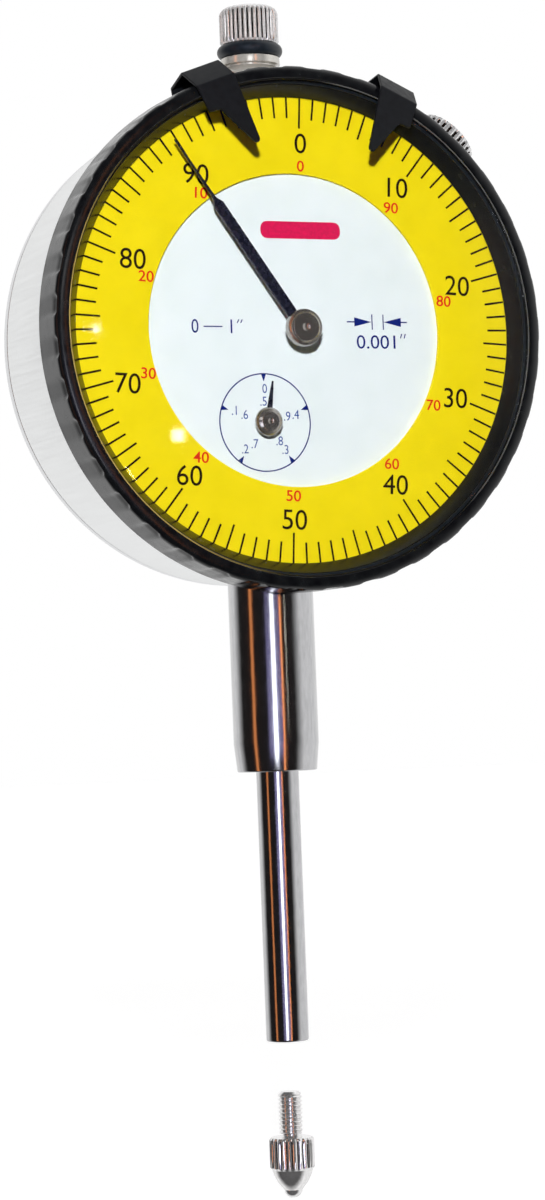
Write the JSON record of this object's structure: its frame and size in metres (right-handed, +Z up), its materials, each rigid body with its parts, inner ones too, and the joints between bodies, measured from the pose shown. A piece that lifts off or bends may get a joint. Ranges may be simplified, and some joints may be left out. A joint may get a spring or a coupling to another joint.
{
  "type": "dial indicator",
  "caption": "Plunger dial indicator with geared hands, counter dial, turning bezel, limit markers, clamping stem and lug back.",
  "frame": {"origin": "on the axis of the stem and spindle, halfway along the part of the stem that a holder clamps", "axes": "+Z up the spindle towards the lifting knob, the dial faces -Y, +X to the right of the dial"},
  "size_m": [0.0574, 0.041, 0.1333],
  "materials": {
    "chrome": "polished",
    "steel": "fine turned",
    "brass": "machined",
    "bronze": "machined",
    "case_satin": "satin brushed",
    "bezel_black": "gloss moulded",
    "black_sheet": "blackened sheet",
    "rubber": "smooth",
    "dial_yellow": "matt print",
    "dial_white": "matt print",
    "hand_dark": "blued",
    "crystal": "clear"
  },
  "bodies": {
    "case": {"case_body": "case_satin", "back_cover": "case_satin", "back_cover_screw_1": "steel", "back_cover_screw_2": "steel", "back_cover_screw_3": "steel", "back_cover_screw_4": "steel", "stem": "chrome", "stem_bush": "bronze", "upper_bushing": "chrome", "dial_disc": "dial_white", "dial_foot_1": "brass", "dial_foot_2": "brass", "centre_bridge": "brass", "rear_bridge": "brass", "guide_rail": "steel", "centre_pillar_1": "brass", "centre_pillar_2": "brass", "centre_screw_1": "steel", "centre_screw_2": "steel", "rear_pillar_1": "brass", "rear_pillar_2": "brass", "rear_screw_1": "steel", "rear_screw_2": "steel", "rail_pillar_1": "brass", "rail_pillar_2": "brass", "rail_screw_1": "steel", "rail_screw_2": "steel", "spring_post": "steel", "return_spring": "steel", "hairspring": "steel", "bezel_retaining_ring": "steel"},
    "plunger": {"spindle": "chrome", "lifting_knob": "chrome", "bumper_ring": "rubber", "guide_pin": "steel", "spring_pin": "steel"},
    "contact": {"contact_point": "steel"},
    "centre_arbor": {"centre_pinion": "steel", "long_hand": "hand_dark", "long_hand_hub": "chrome"},
    "counter_arbor": {"rack_pinion": "steel", "drive_wheel": "brass", "counter_hand": "hand_dark", "counter_hand_hub": "chrome"},
    "spring_arbor": {"spring_wheel": "brass", "spring_wheel_arbor": "steel", "hairspring_collet": "brass"},
    "bezel_assembly": {"bezel": "bezel_black", "crystal": "crystal", "crystal_seal": "rubber", "dial_ring": "dial_yellow"},
    "marker_left": {"limit_marker_left": "black_sheet"},
    "marker_right": {"limit_marker_right": "black_sheet"},
    "clamp_shoe_body": {"clamp_shoe": "steel"},
    "clamp_screw_body": {"clamp_screw": "chrome"}
  },
  "joints": [
    {"name": "spindle_travel", "type": "slide", "parent": "case", "child": "plunger", "axis": [0, 0, 1], "range_m": [0, 0.0254], "stiffness_N_per_m": 23.6, "springref_m": -0.0254, "deforming": ["return_spring"]},
    {"name": "contact_screw_in", "type": "slide", "parent": "plunger", "child": "contact", "axis": [0, 0, 1], "range_m": [0, 0.0104]},
    {"name": "long_hand_turn", "type": "hinge", "parent": "case", "child": "centre_arbor", "pos_m": [0, -0.0102, 0.038], "axis": [0, 1, 0], "range_deg": [0, 3601]},
    {"name": "counter_hand_turn", "type": "hinge", "parent": "case", "child": "counter_arbor", "pos_m": [-0.0039, -0.0102, 0.0279], "axis": [0, 1, 0], "range_deg": [-721, 0]},
    {"name": "spring_wheel_turn", "type": "hinge", "parent": "case", "child": "spring_arbor", "pos_m": [0.0039, -0.0102, 0.0481], "axis": [0, 1, 0], "range_deg": [-721, 0]},
    {"name": "bezel_turn", "type": "hinge", "parent": "case", "child": "bezel_assembly", "pos_m": [0, -0.0102, 0.038], "axis": [0, 1, 0], "continuous": true},
    {"name": "marker_left_turn", "type": "hinge", "parent": "bezel_assembly", "child": "marker_left", "pos_m": [0, -0.0102, 0.038], "axis": [0, 1, 0], "range_deg": [-40, 10]},
    {"name": "marker_right_turn", "type": "hinge", "parent": "bezel_assembly", "child": "marker_right", "pos_m": [0, -0.0102, 0.038], "axis": [0, 1, 0], "range_deg": [-10, 8]},
    {"name": "clamp_shoe_lift", "type": "slide", "parent": "case", "child": "clamp_shoe_body", "axis": [0.7071, 0, 0.7071], "range_m": [0, 0.0005]},
    {"name": "clamp_screw_turn", "type": "hinge", "parent": "clamp_shoe_body", "child": "clamp_screw_body", "pos_m": [0, -0.0016, 0.038], "axis": [0.7071, 0, 0.7071], "range_deg": [0, 361]}
  ],
  "couplings": [
    {"joint": "long_hand_turn", "follows": "spindle_travel", "rad_per_m": 2473.7},
    {"joint": "counter_hand_turn", "follows": "spindle_travel", "rad_per_m": -494.74},
    {"joint": "spring_wheel_turn", "follows": "spindle_travel", "rad_per_m": -494.74},
    {"joint": "clamp_screw_turn", "follows": "clamp_shoe_lift", "rad_per_m": 12566}
  ]
}
